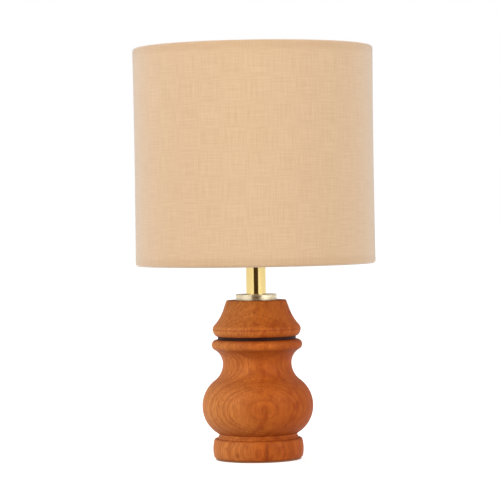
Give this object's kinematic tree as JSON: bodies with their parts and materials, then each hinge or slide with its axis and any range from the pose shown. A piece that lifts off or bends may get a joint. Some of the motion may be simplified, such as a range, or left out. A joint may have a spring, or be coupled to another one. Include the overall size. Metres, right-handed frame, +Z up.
{
  "type": "table lamp",
  "caption": "Small table lamp: turned hardwood baluster column, brass tube and collar, screw lampholder with push-through switch, and a fabric drum shade on a recessed ring.",
  "frame": {"origin": "on the table, under the middle of the felt pad", "axes": "+Z up the lamp's axis, -Y towards the viewer of the picture, +Y the back with the cord inlet, +X to the viewer's right along the push bar"},
  "size_m": [0.2, 0.2, 0.3431],
  "materials": {
    "oiled_hardwood": "oiled, fine open grain",
    "ebonised_wood": "black stained, satin",
    "pale_nickel_brass": "pale champagne plating, finely turned",
    "polished_brass": "polished",
    "zinc_plated_steel": "zinc plated",
    "dark_felt": "pressed wool felt",
    "black_rubber": "moulded",
    "black_phenolic": "moulded phenolic, satin",
    "glazed_ceramic": "glazed steatite",
    "spring_brass": "pressed sheet",
    "peach_cotton": "plain-weave cotton",
    "white_styrene": "matt laminate",
    "white_enamelled_wire": "white enamel",
    "opal_glass": "opal, soft gloss",
    "aluminium_cap": "rolled thread",
    "black_glass": "fused black glass",
    "solder": "solder"
  },
  "bodies": {
    "base": {"felt_pad": "dark_felt", "wood_body": "oiled_hardwood", "spacer_ring": "ebonised_wood", "wood_top": "oiled_hardwood", "collar": "pale_nickel_brass", "brass_tube": "polished_brass", "threaded_rod": "zinc_plated_steel", "base_washer": "zinc_plated_steel", "lock_washer": "zinc_plated_steel", "rod_nut": "zinc_plated_steel", "cord_bush": "black_rubber", "holder_cap": "black_phenolic", "cap_lock_screw": "zinc_plated_steel", "holder_skirt": "black_phenolic", "switch_housing": "black_phenolic", "terminal_screws": "spring_brass", "contact_block": "glazed_ceramic", "screw_shell": "spring_brass", "centre_contact": "spring_brass"},
    "switch": {"switch_bar": "zinc_plated_steel", "switch_tips": "black_phenolic"},
    "clamp": {"clamp_ring": "black_phenolic"},
    "shade": {"shade_fabric": "peach_cotton", "shade_lining": "white_styrene", "top_wire_ring": "white_enamelled_wire", "bottom_wire_ring": "white_enamelled_wire", "fitter_ring": "white_enamelled_wire", "fitter_arms": "white_enamelled_wire"},
    "bulb": {"bulb_envelope": "opal_glass", "bulb_cap": "aluminium_cap", "bulb_insulator": "black_glass", "bulb_contact": "solder"}
  },
  "joints": [
    {"name": "switch_push", "type": "slide", "parent": "base", "child": "switch", "axis": [1, 0, 0], "range_m": [0, 0.005]},
    {"name": "clamp_turn", "type": "hinge", "parent": "base", "child": "clamp", "pos_m": [0, 0, 0.1959], "axis": [0, 0, 1], "range_deg": [0, 360]},
    {"name": "shade_turn", "type": "hinge", "parent": "base", "child": "shade", "pos_m": [0, 0, 0.1908], "axis": [0, 0, 1], "continuous": true},
    {"name": "bulb_out", "type": "slide", "parent": "base", "child": "bulb", "axis": [0, 0, 1], "range_m": [0, 0.145]}
  ]
}
